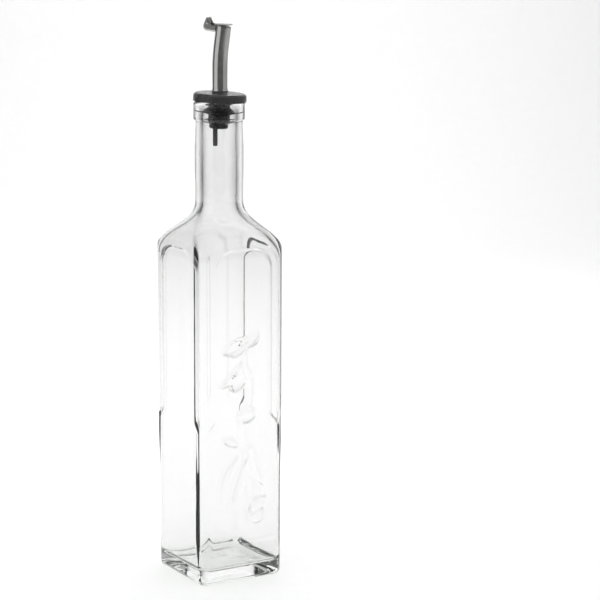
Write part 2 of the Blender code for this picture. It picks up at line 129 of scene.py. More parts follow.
def grid_mesh(name, points, closed_rows=False, caps=(False, False)):
    """Points of shape (rows, columns, 3) become a mesh. Columns always close round. Rows close
    on themselves if asked; each cap adds one middle point and a fan."""
    rows, columns = points.shape[:2]
    index = np.arange(rows * columns).reshape(rows, columns)
    ahead = np.roll(index, -1, axis=1)
    low, high = (index, np.roll(index, -1, axis=0)) if closed_rows else (index[:-1], index[1:])
    low_ahead = ahead if closed_rows else ahead[:-1]
    high_ahead = np.roll(ahead, -1, axis=0) if closed_rows else ahead[1:]
    quads = np.stack([low, low_ahead, high_ahead, high], axis=-1).reshape(-1, 4)
    vertices = points.reshape(-1, 3)
    u = np.arange(columns) / columns
    u_ahead = u + 1 / columns
    v = np.linspace(0, 1, rows + 1 if closed_rows else rows)
    v_low, v_high = v[:-1, None], v[1:, None]
    flat = np.ones_like(v_low) * u
    flat_ahead = np.ones_like(v_low) * u_ahead
    up = v_low + 0 * flat
    up_high = v_high + 0 * flat
    quad_uv = np.stack(
        [np.stack([flat, up], -1), np.stack([flat_ahead, up], -1),
         np.stack([flat_ahead, up_high], -1), np.stack([flat, up_high], -1)], axis=2
    ).reshape(-1, 2)
    loops = [quads.reshape(-1)]
    uvs = [quad_uv]
    sizes = [np.full(len(quads), 4)]
    ends = ((0, False, 0.0), (rows - 1, True, 1.0))
    for (row, last, level), wanted in zip(ends, caps):
        if not wanted:
            continue
        middle = len(vertices)
        vertices = np.vstack([vertices, points[row].mean(axis=0)])
        first, second = (index[row], ahead[row]) if last else (ahead[row], index[row])
        fan = np.stack([first, second, np.full(columns, middle)], axis=-1)
        fan_uv = np.stack([u, u_ahead, u], axis=-1)
        loops.append(fan.reshape(-1))
        uvs.append(np.stack([fan_uv, np.full_like(fan_uv, level)], -1).reshape(-1, 2))
        sizes.append(np.full(columns, 3))
    loops, uvs, sizes = np.concatenate(loops), np.concatenate(uvs), np.concatenate(sizes)
    mesh = bpy.data.meshes.new(name)
    mesh.vertices.add(len(vertices))
    mesh.vertices.foreach_set("co", vertices.reshape(-1))
    mesh.loops.add(len(loops))
    mesh.loops.foreach_set("vertex_index", loops)
    mesh.polygons.add(len(sizes))
    mesh.polygons.foreach_set("loop_start", np.concatenate([[0], np.cumsum(sizes)[:-1]]))
    mesh.update(calc_edges=True)
    layer = mesh.uv_layers.new(name="UVMap")
    layer.data.foreach_set("uv", uvs.reshape(-1))
    mesh.shade_smooth()
    return mesh


def volume_of(mesh):
    """Signed volume in cubic metres; it is above zero when the faces look outwards."""
    mesh.calc_loop_triangles()
    corners = np.empty(len(mesh.loop_triangles) * 3, dtype=np.int32)
    mesh.loop_triangles.foreach_get("vertices", corners)
    places = np.empty(len(mesh.vertices) * 3)
    mesh.vertices.foreach_get("co", places)
    triangle = places.reshape(-1, 3)[corners.reshape(-1, 3)]
    across = np.cross(triangle[:, 1], triangle[:, 2])
    return float((triangle[:, 0] * across).sum() / 6)


def add_piece(name, mesh, body, node, finish):
    """Puts a mesh into the scene as a piece that rides on a body and stands for a CAD node."""
    if volume_of(mesh) < 0:
        mesh.flip_normals()
    piece = bpy.data.objects.new(name, mesh)
    bpy.context.scene.collection.objects.link(piece)
    mesh.materials.append(finish)
    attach(piece, body)
    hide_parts(node)
    print(f"{name}: {len(mesh.polygons)} faces, {volume_of(mesh) / MM**3:.0f} mm3")


# %% [markdown]
# ## The glass: section and side profile
#
# The bottle is pressed and blown in a two-part mould. Its section is a square with round
# corners that turns into a circle at the neck. One polar formula gives both: a round-cornered
# square whose corner radius equals its half width is a circle. The side profile is a list of
# heights, half widths and corner radii. It runs from the middle of the pushed-up base, round
# the heel, up the outside, over the lip and back down the hollow to the floor, so that inner
# and outer wall are one closed skin with real thickness. Glass needs that to bend light.

# %% Section formula


def rounded_square(half, corner, turn):
    """Distance from the axis at an angle, for a square of this half width whose corners are
    arcs of this radius. On the flats it is the half width over the larger of cosine and sine;
    on the corners it is where the ray meets the arc's circle."""
    x, y = np.abs(np.cos(turn)), np.abs(np.sin(turn))
    reach = half - corner
    flat = half / np.maximum(x, y)
    inside = np.maximum(corner**2 - reach**2 * (x - y) ** 2, 0)
    bow = reach * (x + y) + np.sqrt(inside)
    return np.where(np.minimum(x, y) * flat <= reach, flat, bow)


COLUMN_HALF, COLUMN_CORNER = 30.46, 9.5
PANEL_HALF = 29.2
WAIST_HALF = 30.1
LOWER_HALF, LOWER_CORNER = 29.6, 8.5
HEEL_HALF, HEEL_CORNER = 28.6, 4.6
HEEL_ROUND, LOWER_START = 3.6, 28.0
TAPER_END = 58.0
WAIST_LOW, WAIST_HIGH = 95.0, 106.0
SHOULDER_LOW, SHOULDER_HIGH = 203.5, 235.0
NECK_RADIUS = 14.55
LIP_LOW, LIP_TOP, LIP_RADIUS = 282.6, 294.0, 15.65
CAVITY_HALF, CAVITY_CORNER, BORE_RADIUS = 26.8, 3.6, 9.8
CAVITY_FLOOR, CAVITY_ROUND = 8.6, 4.0
CAVITY_SHOULDER_LOW, CAVITY_SHOULDER_HIGH = 200.0, 235.0
BEARING_HALF, BEARING_EDGE, BEARING_CORNER = 22.0, 23.5, 5.0
PUSH_UP = 1.0
SQUARING = 0.68


def shoulder_section(height, half, corner, neck, low, high):
    """The half width eases from the body's to the neck's by smooth_rise. The corner radius, as
    a share of the half width, grows towards one a little faster than the width falls."""
    share = 1 - smooth_rise((height - low) / (high - low))
    width = neck + (half - neck) * share
    return width, width * (1 - (1 - corner / half) * share**1.4)


def outer_section(height):
    """Half width and corner radius of the outside from the heel to the neck's waist."""
    swell = smooth_rise((height - HEEL_ROUND) / (LOWER_START - HEEL_ROUND))
    taper = smooth_rise((height - TAPER_END) / (WAIST_LOW - TAPER_END))
    waist = smooth_rise((height - WAIST_LOW) / (WAIST_HIGH - WAIST_LOW))
    half = HEEL_HALF + (LOWER_HALF - HEEL_HALF) * swell
    half = half + (WAIST_HALF - LOWER_HALF) * taper + (COLUMN_HALF - WAIST_HALF) * waist
    corner = HEEL_CORNER + (LOWER_CORNER - HEEL_CORNER) * swell
    corner = corner + (COLUMN_CORNER - LOWER_CORNER) * waist
    upper = shoulder_section(
        height, COLUMN_HALF, COLUMN_CORNER, NECK_RADIUS, SHOULDER_LOW, SHOULDER_HIGH
    )
    below = height < SHOULDER_LOW
    return np.where(below, half, upper[0]), np.where(below, corner, upper[1])


def arc(radius, start, stop, count, across, height):
    """Points on a quarter or so of a circle, as (distance, height) columns, in millimetres."""
    turn = np.radians(np.linspace(start, stop, count))
    return across + radius * np.cos(turn), height + radius * np.sin(turn)


# %% Side profile


def base_rows():
    """Pushed-up middle, flat bearing ring and rounded heel. The middle's rings turn from circles
    to squares outwards, by the squaring share."""
    share = np.array([0.12, 0.25, 0.4, 0.55, 0.7, 0.82, 0.91, 0.97, 1.0])
    dome = PUSH_UP * (1 - share**2) ** 1.2
    middle = BEARING_HALF * share
    heel = np.radians(np.linspace(0, 90, 11))
    inset = HEEL_ROUND * (1 - np.sin(heel))
    half = np.concatenate([middle, [BEARING_EDGE], HEEL_HALF - inset])
    middle_corner = middle * (1 - SQUARING * share**2)
    corner = np.concatenate([middle_corner, [BEARING_CORNER], HEEL_CORNER - 0.7 * inset])
    rise = np.concatenate([dome, [0.0], HEEL_ROUND * (1 - np.cos(heel))])
    return half, corner, rise


def wall_rows():
    """The outside from the heel to the top of the shoulder, closer where the shape turns."""
    spans = ((3.6, 14, 4), (14, 94, 88), (94, 107, 16), (107, 160, 58), (160, 190, 5),
             (190, 208, 28), (208, 238, 27))
    heights = np.concatenate([np.linspace(a, b, n, endpoint=False) for a, b, n in spans])[1:]
    return *outer_section(heights), heights


def neck_rows():
    """The neck, a hair wider at its middle, and the collar with both its edges rounded."""
    low = np.array([238.0, 244, 250, 258, 266, 274, 279, 281, 281.8, 282.2])
    neck = NECK_RADIUS + 0.3 * smooth_rise((low - 236) / 20)
    neck = neck - 0.6 * smooth_rise((low - 262) / 19)
    under = arc(1.2, -90, 0, 7, LIP_RADIUS - 1.2, LIP_LOW + 1.2)
    over = arc(2.0, 0, 90, 9, LIP_RADIUS - 2.0, LIP_TOP - 2.0)
    mouth = arc(1.3, 90, 180, 7, BORE_RADIUS + 1.3, LIP_TOP - 1.3)
    radius = np.concatenate([neck, under[0], over[0], mouth[0]])
    return radius, radius, np.concatenate([low, under[1], over[1], mouth[1]])


def hollow_rows():
    """The hollow from the mouth down the bore, out into the body and over the floor."""
    bore = np.array([286.0, 278, 268, 258, 248])
    heights = np.concatenate([np.linspace(240, 198, 30), np.linspace(186, 24, 12)])
    half, corner = shoulder_section(
        heights, CAVITY_HALF, CAVITY_CORNER, BORE_RADIUS, CAVITY_SHOULDER_LOW, CAVITY_SHOULDER_HIGH
    )
    turn = np.radians(np.linspace(0, 90, 9))
    inset = CAVITY_ROUND * (1 - np.cos(turn))
    share = np.array([0.93, 0.8, 0.62, 0.42, 0.2])
    floor_half = (CAVITY_HALF - CAVITY_ROUND) * share
    swell = 0.9 * (1 - share**2)
    radius = np.full(len(bore), BORE_RADIUS)
    halves = [radius, half, CAVITY_HALF - inset, floor_half]
    corners = [radius, corner, CAVITY_CORNER + 0.8 * inset, floor_half * (1 - SQUARING * share)]
    curve = CAVITY_ROUND * (1 - np.sin(turn))
    rises = [bore, heights, CAVITY_FLOOR + curve, CAVITY_FLOOR + swell]
    return np.concatenate(halves), np.concatenate(corners), np.concatenate(rises)


parts = (base_rows(), wall_rows(), neck_rows(), hollow_rows())
profile = [np.concatenate(part) for part in zip(*parts)]
outer_count = len(parts[0][0]) + len(parts[1][0])
print("profile rows:", len(profile[0]), "of them outside up to the neck:", outer_count)

# %% [markdown]
# ## The glass: columns, arches and the olive sprig
#
# Above the waist the four corners stand proud as columns, and between them each face is sunk by
# 1.3 mm in an arched panel. The panel is a mask over the face: a distance to the arch's edge is
# worked out for each point, and the wall moves in where that distance is negative. At the waist
# the arch's sides swing out to the corners in an S and the step fades away below. The edge is
# crisp on two faces and softer on the other two.
#
# On one face the mould also carries a relief, a sprig of olive leaves and fruit. Each leaf is a
# bump on a bent spine, wide in the middle and pointed at its ends, with a raised rim and a
# midrib. The fruits are round or oval swellings. The highest stands two millimetres proud.

# %% Arched panels
ARCH_HALF, ARCH_LOW_HALF, ARCH_ROUND, ARCH_LEVEL = 18.7, 24.0, 12.0, 194.5
ARCH_SLOPES = (1.0, 1.6, 6.5, 1.0)
FACE_MIDDLES = np.radians([-90, 0, 90, 180])
PANEL_FADE_LOW, PANEL_FADE_SPAN, PANEL_TOP = 60.0, 35.0, 215.0


def face_columns(fine):
    """Distances along one face from its middle to where the corner's arc ends, in millimetres
    at the widest part. The fine face has closer columns for the relief."""
    flat = np.linspace(0, 17.6, 29 if fine else 13)
    slope = np.linspace(17.6, 20.6, 10 if fine else 8)[1:]
    edge = np.linspace(20.6, 23.6, 4)[1:]
    return np.concatenate([flat, slope, edge])


def section_angles():
    """Angles of all columns. The face towards -Y is the fine one. Both halves of a face mirror
    each other, and each corner's arc has its own evenly spaced columns."""
    turns = []
    for k, middle in enumerate(FACE_MIDDLES):
        side = np.arctan2(face_columns(k == 0), COLUMN_HALF)
        bend = np.linspace(side[-1], math.pi / 4, 9)[1:]
        half = np.concatenate([side, bend])
        turns.append(middle + np.concatenate([-half[-2:0:-1], half]))
    return np.concatenate(turns)


def arch_mask(across, height, slope):
    """1 inside the arch and 0 outside. Above the waist the edge is a round-cornered box; in the
    waist and below, the box's half width grows to the corner. The slope's width is in mm."""
    swing = smooth_rise((height - WAIST_LOW) / (WAIST_HIGH - WAIST_LOW))
    width = ARCH_LOW_HALF + (ARCH_HALF - ARCH_LOW_HALF) * swing
    box_x = across - (width - ARCH_ROUND)
    box_z = height - ARCH_LEVEL
    outside = np.hypot(np.maximum(box_x, 0), np.maximum(box_z, 0))
    distance = outside + np.minimum(np.maximum(box_x, box_z), 0) - ARCH_ROUND
    return 1 - smooth_rise(distance / slope)


def panel_step(height):
    """How far the panel's plane lies inside the wall's at a height: nothing on the lower body,
    then growing to the waist, and 1.3 mm above it."""
    share = np.clip((height - PANEL_FADE_LOW) / PANEL_FADE_SPAN, 0, 1)
    plane = LOWER_HALF + (PANEL_HALF - LOWER_HALF) * share
    return np.maximum(outer_section(height)[0] - plane, 0) * (height < PANEL_TOP)


# %% The sprig
LEAF_BODY, LEAF_RIM, LEAF_RIB = 0.42, 0.2, 0.12
RELIEF = 2.9


def leaf(x, z, base, tip, width, bend):
    """Height of one leaf, as a share of the relief. Along runs from 0 at its base to 1 at its
    tip; the spine bows sideways by bend. Half the width is a sine of along to the 0.8, so that
    it ends in points."""
    spine = np.subtract(tip, base)
    length = float(np.hypot(*spine))
    ahead = spine / length
    dx, dz = x - base[0], z - base[1]
    along = (dx * ahead[0] + dz * ahead[1]) / length
    inside = (along > 0) & (along < 1)
    t = np.clip(along, 0, 1)
    off = dz * ahead[0] - dx * ahead[1] - bend * np.sin(np.pi * t)
    reach = width * np.sin(np.pi * t) ** 0.8 + 1e-6
    body = np.clip(1 - (off / reach) ** 2, 0, 1) ** 0.5
    rim = np.exp(-((np.abs(off) - 0.86 * reach) / 0.55) ** 2)
    rib = np.exp(-((off / 0.5) ** 2))
    height = LEAF_BODY * body + LEAF_RIM * rim * body**0.3 + LEAF_RIB * rib * body
    return np.where(inside, height, 0.0)


def fruit(x, z, middle, long_radius, short_radius, turn):
    """Height of one fruit: a flattened ball over an ellipse."""
    c, s = math.cos(math.radians(turn)), math.sin(math.radians(turn))
    dx, dz = x - middle[0], z - middle[1]
    share = ((dx * c + dz * s) / long_radius) ** 2 + ((dz * c - dx * s) / short_radius) ** 2
    return 0.6 * np.clip(1 - share, 0, 1) ** 0.5


def stalk(x, z, points, width):
    """Height of a bent stalk: a rounded ridge along a smooth curve through a few points."""
    share = np.linspace(0, 1, len(points))
    fine = np.linspace(0, 1, 60)
    fits = [np.polynomial.Polynomial.fit(share, np.array(points)[:, k], 2) for k in (0, 1)]
    line = np.stack([fit(fine) for fit in fits], axis=-1)
    near = np.full(x.shape, 1e3)
    for point in line:
        near = np.minimum(near, np.hypot(x - point[0], z - point[1]))
    return 0.36 * np.clip(1 - (near / width) ** 2, 0, 1) ** 0.5


LEAVES = (
    ((3.0, 152.0), (-14.0, 145.0), 5.0, 1.2),
    ((3.0, 148.0), (10.5, 156.0), 3.2, -0.6),
    ((-0.5, 138.0), (-15.5, 124.0), 3.0, 1.8),
    ((1.5, 136.0), (4.0, 110.0), 3.0, 1.6),
    ((-4.0, 86.0), (-14.5, 91.0), 2.6, -0.8),
    ((-3.5, 80.0), (-16.0, 52.0), 3.4, -1.4),
    ((2.5, 78.0), (-8.5, 50.0), 3.2, 1.4),
    ((4.5, 86.0), (13.0, 60.0), 4.4, -1.2),
    ((3.0, 44.0), (16.0, 52.0), 3.4, 1.0),
)
FRUITS = (
    ((-4.5, 127.5), 7.4, 6.0, 62),
    ((2.8, 105.0), 6.4, 4.8, 20),
    ((9.5, 41.0), 6.0, 4.8, 35),
)
STALKS = (
    (((3.5, 150.0), (1.0, 140.0), (2.6, 126.0)), 0.9),
    (((2.6, 112.0), (-2.0, 96.0), (2.5, 78.0)), 0.9),
    (((2.5, 78.0), (4.0, 62.0), (6.5, 44.0)), 0.8),
)


def sprig(x, z):
    """Height of all shapes, as a share of RELIEF: the highest of them at each point."""
    height = np.zeros(x.shape)
    for base, tip, width, bend in LEAVES:
        height = np.maximum(height, leaf(x, z, base, tip, width, bend))
    for middle, long_radius, short_radius, turn in FRUITS:
        height = np.maximum(height, fruit(x, z, middle, long_radius, short_radius, turn))
    for points, width in STALKS:
        height = np.maximum(height, stalk(x, z, points, width))
    return height


# %% Points of the glass


def glass_points():
    """All points of the skin: the section formula on every row, then the panels and the sprig
    as a move along each face's normal, on the outside only."""
    turn = section_angles()
    half, corner, rise = (values[:, None] for values in profile)
    radius = rounded_square(half, corner, turn[None, :])
    points = np.stack([radius * np.cos(turn), radius * np.sin(turn), rise + 0 * radius], axis=-1)
    outside = (np.arange(len(rise)) < outer_count)[:, None]
    for middle, slope in zip(FACE_MIDDLES, ARCH_SLOPES):
        normal = np.array([math.cos(middle), math.sin(middle)])
        along = np.array([-normal[1], normal[0]])
        on_face = np.cos(turn - middle)[None, :] > math.cos(math.pi / 4) - 1e-6
        across = points[..., :2] @ along
        step = panel_step(rise) * arch_mask(np.abs(across), rise, slope)
        if middle < -1:
            step = step - RELIEF * sprig(across, rise + 0 * across)
        move = np.where(outside & on_face & (rise > 4), step, 0.0)
        points[..., :2] -= move[..., None] * normal
    return points * MM


glass_grid = glass_points()
print("glass grid:", glass_grid.shape, "corners in mm:",
      np.round(glass_grid.reshape(-1, 3).min(axis=0) / MM, 2),
      np.round(glass_grid.reshape(-1, 3).max(axis=0) / MM, 2))

# %% [markdown]
# ## Finishes
#
# The shader helpers below keep each material short. Every pattern reads the object's own
# coordinates or the UV map of its grid, so it stays on the piece when the piece moves.

# %% Shader helpers


class Finish:
    """A new material with a Principled shader and a few helpers for adding nodes to it."""

    def __init__(self, name, colour, roughness, **values):
        self.material = bpy.data.materials.new(name)
        self.material.use_nodes = True
        self.tree = self.material.node_tree
        self.shader = self.tree.nodes["Principled BSDF"]
        self.output = self.tree.nodes["Material Output"]
        self.shader.inputs["Base Color"].default_value = (*colour, 1)
        self.shader.inputs["Roughness"].default_value = roughness
        for socket, value in values.items():
            self.shader.inputs[socket.replace("_", " ")].default_value = value

    def add(self, kind, links=(), **values):
        """A node with socket values by name, and links from other nodes' outputs."""
        node = self.tree.nodes.new(kind)
        for key, value in values.items():
            if hasattr(node, key):
                setattr(node, key, value)
            else:
                node.inputs[key.replace("_", " ")].default_value = value
        for target, source in links:
            self.tree.links.new(source, node.inputs[target])
        return node

    def coordinates(self, output, scale):
        """Object or UV coordinates, stretched by a scale on each axis."""
        source = self.add("ShaderNodeTexCoord")
        mapping = self.add("ShaderNodeMapping", [("Vector", source.outputs[output])])
        mapping.inputs["Scale"].default_value = scale
        return mapping.outputs["Vector"]

    def noise(self, vector, scale, detail=3.0, roughness=0.5):
        """Soft noise around a half."""
        return self.add("ShaderNodeTexNoise", [("Vector", vector)], Scale=scale, Detail=detail,
                        Roughness=roughness).outputs["Fac"]

    def spread(self, value, low, high):
        """Maps the noise's usual span of 0.3 to 0.7 to low and high."""
        made = self.add("ShaderNodeMapRange", [("Value", value)])
        made.inputs["From Min"].default_value = 0.3
        made.inputs["From Max"].default_value = 0.7
        made.inputs["To Min"].default_value = low
        made.inputs["To Max"].default_value = high
        return made.outputs["Result"]

    def bump(self, height, depth):
        """A bump of a depth in metres for the height's whole span."""
        made = self.add("ShaderNodeBump", [("Height", height)], Strength=1.0, Distance=depth)
        self.link(made.outputs["Normal"], "Normal")

    def link(self, source, socket):
        """Links an output to a socket of the Principled shader."""
        self.tree.links.new(source, self.shader.inputs[socket])

    def blend(self, factor, first, second):
        """A colour between two, by a factor. Each is three numbers or another node's output."""
        made = self.add("ShaderNodeMix", data_type="RGBA")
        self.tree.links.new(factor, made.inputs["Factor"])
        sockets = [socket for socket in made.inputs if socket.type == "RGBA"]
        for socket, colour in zip(sockets, (first, second)):
            if isinstance(colour, tuple):
                socket.default_value = (*colour, 1)
            else:
                self.tree.links.new(colour, socket)
        return [socket for socket in made.outputs if socket.type == "RGBA"][0]


# %% [markdown]
# ### Clear glass
#
# The glass bends light with an index of 1.5. Moulded glass is never quite flat: a wide soft
# noise and a finer one give its faces a faint wave, and its gloss changes a little with
# handling. Lamps shine through to the table as they do through a real bottle, because shadow
# rays meet a plain transparent shader instead of the glass.

# %% Clear glass


def clear_glass():
    """Transmission with two sizes of waviness, and a transparent shader for shadow rays."""
    made = Finish("clear_glass", (0.93, 0.932, 0.93), 0.0, Transmission_Weight=1.0, IOR=1.5)
    place = made.coordinates("Object", (1, 1, 0.6))
    wide = made.noise(place, 38.0, detail=2.0)
    made.bump(wide, 0.00012)
    surface_variation = made.noise(made.coordinates("Object", (1, 1, 1)), 60.0)
    made.link(made.spread(surface_variation, 0.0, 0.012), "Roughness")
    path = made.add("ShaderNodeLightPath")
    clear = made.add("ShaderNodeBsdfTransparent")
    clear.inputs["Color"].default_value = (0.93, 0.94, 0.93, 1)
    mix = made.add("ShaderNodeMixShader", [("Fac", path.outputs["Is Shadow Ray"])])
    made.tree.links.new(made.shader.outputs["BSDF"], mix.inputs[1])
    made.tree.links.new(clear.outputs["BSDF"], mix.inputs[2])
    made.tree.links.new(mix.outputs["Shader"], made.output.inputs["Surface"])
    return made.material


add_piece(
    "glass_bottle", grid_mesh("glass_bottle", glass_grid, caps=(True, True)),
    "bottle", "bottle", clear_glass(),
)

# %% [markdown]
# ## The stopper
#
# The stopper is a turned piece of black plastic: a flange that rests on the glass, a core, and
# three soft fins that seal the bore. The fins press on the bore's wall, and where they touch it
# they show through the glass as thin dark lines. The stopper leans a little to the side that
# the spout points to.
# The same turned profile carries on over the flange's top and down into the socket round the
# tube, so the joint between steel and plastic is a real narrow groove.

# %% Turned pieces
SPOUT_YAW = math.radians(-45)
FORWARD = np.array([math.cos(SPOUT_YAW), math.sin(SPOUT_YAW), 0.0])
SIDEWAYS = np.array([-math.sin(SPOUT_YAW), math.cos(SPOUT_YAW), 0.0])
UP = np.array([0.0, 0.0, 1.0])
STOPPER_LEAN = math.radians(2.8)
STOPPER_PIVOT = 285.5
FIN_RADIUS = 9.84
TUBE_RADIUS, TUBE_BORE, TUBE_OFFSET = 4.64, 4.1, 0.55


def rounded_path(corners, radius, steps=5):
    """A path through corner points with each inner corner replaced by a short curve. The curve
    starts and ends at most one radius, or a third of a side, from the corner."""
    corners = np.array(corners, dtype=float)
    path = [corners[:1]]
    share = np.linspace(0, 1, steps)[:, None]
    for before, corner, after in zip(corners, corners[1:], corners[2:]):
        back, on = before - corner, after - corner
        start = corner + back * min(radius / np.linalg.norm(back), 0.33)
        end = corner + on * min(radius / np.linalg.norm(on), 0.33)
        curve = start * (1 - share) ** 2 + 2 * corner * share * (1 - share) + end * share**2
        path.append(curve)
    path.append(corners[-1:])
    return np.concatenate(path)


def turned(path, sides, centre=None):
    """Rings of a profile of (radius, height), each turned round its own centre."""
    turn = np.linspace(0, 2 * np.pi, sides, endpoint=False)
    circle = np.stack([np.cos(turn), np.sin(turn), 0 * turn], axis=-1)
    rings = path[:, 0, None, None] * circle + path[:, 1, None, None] * UP
    return rings if centre is None else rings + centre[:, None, :]


STOPPER_CORNERS = [
    (5.2, 277.6), (5.8, 278.1), (5.8, 280.2), (6.6, 280.8),
    (FIN_RADIUS, 281.9), (FIN_RADIUS, 282.8), (6.6, 283.8), (6.6, 286.0),
    (FIN_RADIUS, 287.2), (FIN_RADIUS, 288.1), (6.6, 289.9), (6.6, 291.1),
    (FIN_RADIUS, 292.4), (FIN_RADIUS, 293.3), (7.2, 294.0), (7.2, 295.0),
    (15.1, 295.0), (15.35, 293.7), (16.15, 293.9), (16.15, 296.7), (16.05, 297.38),
    (15.74, 297.99), (15.26, 298.48), (14.66, 298.79), (14.0, 298.9), (7.2, 298.75),
    (5.4, 298.6), (5.0, 298.2), (5.0, 290.0), (1.0, 290.0),
]


def stopper_points():
    """The turned profile. Rings inside the flange slide forward to lie round the tube, and the
    fins' rings slide back to the middle of the bore that squeezes them; then the whole is
    leaned about its pivot towards the spout's side."""
    path = rounded_path(STOPPER_CORNERS, 0.45)
    inner = smooth_rise((11.0 - path[:, 0]) / 6.0) * (np.arange(len(path)) > len(path) * 0.8)
    fin = (path[:, 0] > 7.5) & (path[:, 1] < 293.9)
    back = -(path[:, 1, None] - STOPPER_PIVOT) * math.tan(STOPPER_LEAN)
    slide = FORWARD * (inner[:, None] * (TUBE_OFFSET + back) + fin[:, None] * back)
    rings = turned(path, 96, slide)
    lean = np.array(Matrix.Rotation(STOPPER_LEAN, 3, Vector(np.cross(UP, FORWARD))))
    pivot = UP * STOPPER_PIVOT
    return ((rings - pivot) @ lean.T + pivot) * MM


def black_plastic():
    """Dark moulded plastic: fine grain in the bump, and gloss that varies in soft patches. The
    flange is greyer as painted sheen, and the core below it is darker as painted shade."""
    made = Finish("black_plastic", (0.012, 0.012, 0.013), 0.32, IOR=1.45)
    place = made.coordinates("Object", (1, 1, 1))
    grain = made.noise(place, 2600.0, detail=2.0)
    patch = made.noise(place, 160.0, detail=4.0)
    made.bump(grain, 0.00002)
    made.link(made.spread(patch, 0.22, 0.34), "Roughness")
    # Split by height: above about 294 mm the flange gets a greyer base colour as painted sheen,
    # and below it the core gets a near-black one as painted shade. The patch noise varies each
    # tone at random.
    height = made.add("ShaderNodeSeparateXYZ", [("Vector", place)]).outputs["Z"]
    surface_variation = made.add("ShaderNodeMapRange", [("Value", height)])
    surface_variation.inputs["From Min"].default_value = 0.293
    surface_variation.inputs["From Max"].default_value = 0.2945
    core = made.blend(patch, (0.001, 0.001, 0.001), (0.005, 0.005, 0.005))
    flange = made.blend(patch, (0.026, 0.026, 0.027), (0.055, 0.055, 0.056))
    made.link(made.blend(surface_variation.outputs["Result"], core, flange), "Base Color")
    return made.material


add_piece(
    "stopper_plug", grid_mesh("stopper_plug", stopper_points(), caps=(True, True)),
    "bottle", "stopper", black_plastic(),
)

# %% [markdown]
# ## The spout
#
# The spout is a drawn stainless tube. It stands upright in the stopper, bends once and leans
# forward to its mouth. Drawing leaves fine lines along the tube, so its brightness is streaked
# in long thin strokes, and the finish is smooth enough to mirror the room as stripes.

# %% Drawn tube
BEND_LOW, BEND_HIGH, MOUTH_Z = 312.0, 328.0, 338.85
TUBE_LEAN = math.radians(7.3)


def tube_line(height):
    """Centre and direction at a height: upright, then an arc, then straight at the lean."""
    span = BEND_HIGH - BEND_LOW
    bend = span / math.sin(TUBE_LEAN)
    lean = np.arcsin(np.clip(height - BEND_LOW, 0, span) / bend)
    shift = TUBE_OFFSET + bend * (1 - np.cos(lean))
    shift = shift + np.maximum(height - BEND_HIGH, 0) * math.tan(TUBE_LEAN)
    centre = shift[:, None] * FORWARD + height[:, None] * UP
    return centre, np.sin(lean)[:, None] * FORWARD + np.cos(lean)[:, None] * UP


def tube_points(heights, radii, sides):
    """Rings of given radii, each square to the tube's line at its height."""
    centre, along = tube_line(heights)
    across = np.cross(SIDEWAYS, along)
    turn = np.linspace(0, 2 * np.pi, sides, endpoint=False)
    round_part = np.cos(turn)[None, :, None] * across[:, None, :]
    round_part = round_part + np.sin(turn)[None, :, None] * SIDEWAYS
    return (centre[:, None, :] + radii[:, None, None] * round_part) * MM


def spout_points():
    """Outside up, over the rounded rim and down the bore; the rows close at the foot."""
    outside = np.concatenate([[290.4, 294, 298.6, 299.0], np.linspace(299.4, 302.0, 9),
                              np.linspace(304, 337.6, 24)])
    bead = 0.42 * np.exp(-(((outside - 300.3) / 0.75) ** 2))
    rim_turn = np.radians(np.linspace(0, 180, 9))
    wall = (TUBE_RADIUS - TUBE_BORE) / 2
    rim = MOUTH_Z - wall + wall * np.sin(rim_turn)
    rim_radius = TUBE_BORE + wall + wall * np.cos(rim_turn)
    inside = np.linspace(337.6, 290.4, 26)
    heights = np.concatenate([outside, rim, inside])
    radii = np.concatenate([TUBE_RADIUS + bead, rim_radius, np.full(len(inside), TUBE_BORE)])
    return tube_points(heights, radii, 96)


def drawn_steel(name, colour, low, high, stretch):
    """Bright steel with long streaks: noise on the UV map, squeezed round and stretched along,
    moves the roughness between low and high and lifts a very shallow bump."""
    made = Finish(name, colour, low, Metallic=1.0)
    streak = made.noise(made.coordinates("UV", stretch), 1.0, detail=6.0, roughness=0.65)
    cloud = made.noise(made.coordinates("Object", (1, 1, 1)), 240.0, detail=3.0)
    made.link(made.spread(streak, low, high), "Roughness")
    dark = tuple(0.86 * part for part in colour)
    made.link(made.blend(cloud, dark, colour), "Base Color")
    made.bump(streak, 0.000006)
    return made.material


add_piece(
    "spout_tube", grid_mesh("spout_tube", spout_points(), closed_rows=True),
    "bottle", "spout", drawn_steel("steel", (0.72, 0.72, 0.71), 0.1, 0.24, (260, 6, 1)),
)

# %% [markdown]
# ## The air pipe
#
# A thin grey pipe hangs from the stopper inside the neck. It lets air in while oil runs out. It
# tapers a little towards its open lower end.

# %% Air pipe


def vent_points():
    """A tapered tube with rounded ends, standing behind the axis."""
    outside = [(0.95, 266.95), (1.1, 266.72), (1.3, 266.78), (1.4, 267.1), (1.46, 270.0),
               (1.5, 273.0), (1.5, 289.2)]
    inside = [(0.8, 289.2), (0.8, 270.0), (0.8, 267.2)]
    path = np.array(outside + inside)
    return (turned(path, 40) + FORWARD * -2.5) * MM


def grey_plastic():
    """Matt grey moulded plastic with fine speckle."""
    made = Finish("grey_plastic", (0.1, 0.1, 0.1), 0.4)
    place = made.coordinates("Object", (1, 1, 1))
    speckle = made.noise(place, 1800.0)
    made.link(made.blend(speckle, (0.07, 0.07, 0.07), (0.14, 0.14, 0.14)), "Base Color")
    made.link(made.spread(speckle, 0.34, 0.5), "Roughness")
    made.bump(speckle, 0.000015)
    return made.material


add_piece(
    "air_pipe", grid_mesh("air_pipe", vent_points(), closed_rows=True),
    "bottle", "vent_tube", grey_plastic(),
)

# %% [markdown]
# ## Bracket, pin and lid
#
# Behind the mouth a folded steel channel is soldered to the tube. Its two ears carry the pin,
# and the lid turns on the pin. The three pieces are laid out in the plane of the tube's tip: p
# runs forward across the mouth, q up along the tube, and w to the side.

